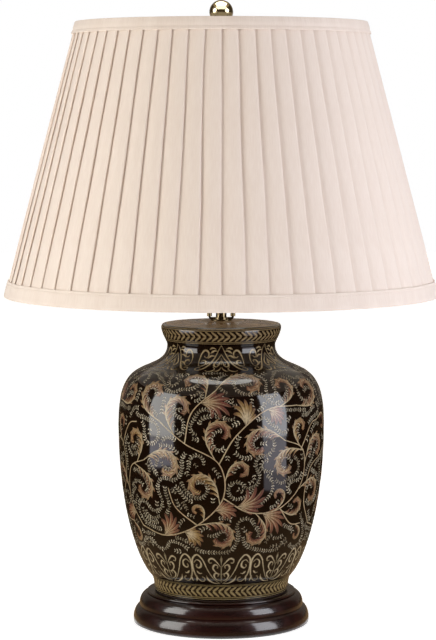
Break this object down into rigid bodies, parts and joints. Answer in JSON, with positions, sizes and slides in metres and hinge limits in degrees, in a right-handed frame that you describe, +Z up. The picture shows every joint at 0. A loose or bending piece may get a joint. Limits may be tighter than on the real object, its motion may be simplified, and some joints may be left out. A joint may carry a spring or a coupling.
{
  "type": "table lamp",
  "caption": "Table lamp: glazed ceramic jar on a turned wooden plinth, with a pleated empire shade held on a harp by a ball finial.",
  "frame": {"origin": "centre of the underside of the felt, on the table", "axes": "+Z up the lamp's axis, the front faces -Y, the harp stands in the XZ plane"},
  "size_m": [0.4059, 0.406, 0.5834],
  "materials": {
    "felt": "pressed baize",
    "mahogany": "dark lacquered",
    "bushing_black": "moulded",
    "steel": "zinc plated",
    "cork": "soft gasket",
    "glaze": "near-black gloss with raised gold enamel",
    "antique_brass": "antiqued and lacquered",
    "fibre": "pressed fibre",
    "porcelain": "dark moulded",
    "knob_black": "moulded",
    "bulb_glass": "frosted",
    "lining": "white laminate",
    "pleat_cloth": "fine cream weave",
    "binding_cloth": "folded cream tape"
  },
  "bodies": {
    "lamp": {"felt_pad": "felt", "plinth": "mahogany", "cord_bushing": "bushing_black", "clamp_washer": "steel", "clamp_nut": "steel", "threaded_rod": "steel", "foot_gasket": "cork", "ceramic_jar": "glaze", "check_ring": "antique_brass", "neck_tube": "antique_brass", "harp_saddle": "antique_brass", "harp": "antique_brass", "holder_cup": "antique_brass", "cup_set_screw": "steel", "holder_shell": "antique_brass", "insulating_liner": "fibre", "holder_core": "porcelain", "terminal_screws": "steel", "screw_shell": "steel", "centre_contact": "steel", "switch_bushing": "antique_brass"},
    "switch": {"switch_spindle": "steel", "switch_knob": "knob_black"},
    "sleeve_left": {"harp_sleeve_left": "antique_brass"},
    "sleeve_right": {"harp_sleeve_right": "antique_brass"},
    "bulb_foot": {"bulb_contact": "steel", "bulb_insulator": "knob_black"},
    "bulb": {"bulb_cap": "steel", "bulb_glass": "bulb_glass", "bulb_stem": "bulb_glass", "bulb_filament": "steel"},
    "stud": {"harp_stud": "antique_brass"},
    "shade": {"shade_spider": "antique_brass", "bottom_ring": "steel", "shade_lining": "lining", "pleated_cover": "pleat_cloth", "top_binding": "binding_cloth", "bottom_binding": "binding_cloth"},
    "finial": {"ball_finial": "antique_brass"}
  },
  "joints": [
    {"name": "switch_knob_turn", "type": "hinge", "parent": "lamp", "child": "switch", "pos_m": [0, -0.02, 0.336], "axis": [0, -1, 0], "continuous": true},
    {"name": "sleeve_left_slide", "type": "slide", "parent": "lamp", "child": "sleeve_left", "axis": [0, 0, 1], "range_m": [0, 0.008]},
    {"name": "sleeve_right_slide", "type": "slide", "parent": "lamp", "child": "sleeve_right", "axis": [0, 0, 1], "range_m": [0, 0.008]},
    {"name": "bulb_rise", "type": "slide", "parent": "lamp", "child": "bulb_foot", "axis": [0, 0, 1], "range_m": [0, 0.011]},
    {"name": "bulb_turn", "type": "hinge", "parent": "bulb_foot", "child": "bulb", "pos_m": [0, 0, 0.3545], "axis": [0, 0, 1], "range_deg": [0, 1080]},
    {"name": "shade_swivel", "type": "hinge", "parent": "lamp", "child": "stud", "pos_m": [0, 0, 0.5505], "axis": [0, 0, 1], "continuous": true},
    {"name": "shade_lift", "type": "slide", "parent": "stud", "child": "shade", "axis": [0, 0, 1], "range_m": [0, 0.27]},
    {"name": "finial_turn", "type": "hinge", "parent": "shade", "child": "finial", "pos_m": [0, 0, 0.5536], "axis": [0, 0, 1], "continuous": true}
  ],
  "couplings": [
    {"joint": "bulb_rise", "follows": "bulb_turn", "m_per_rad": 0.00057296}
  ]
}
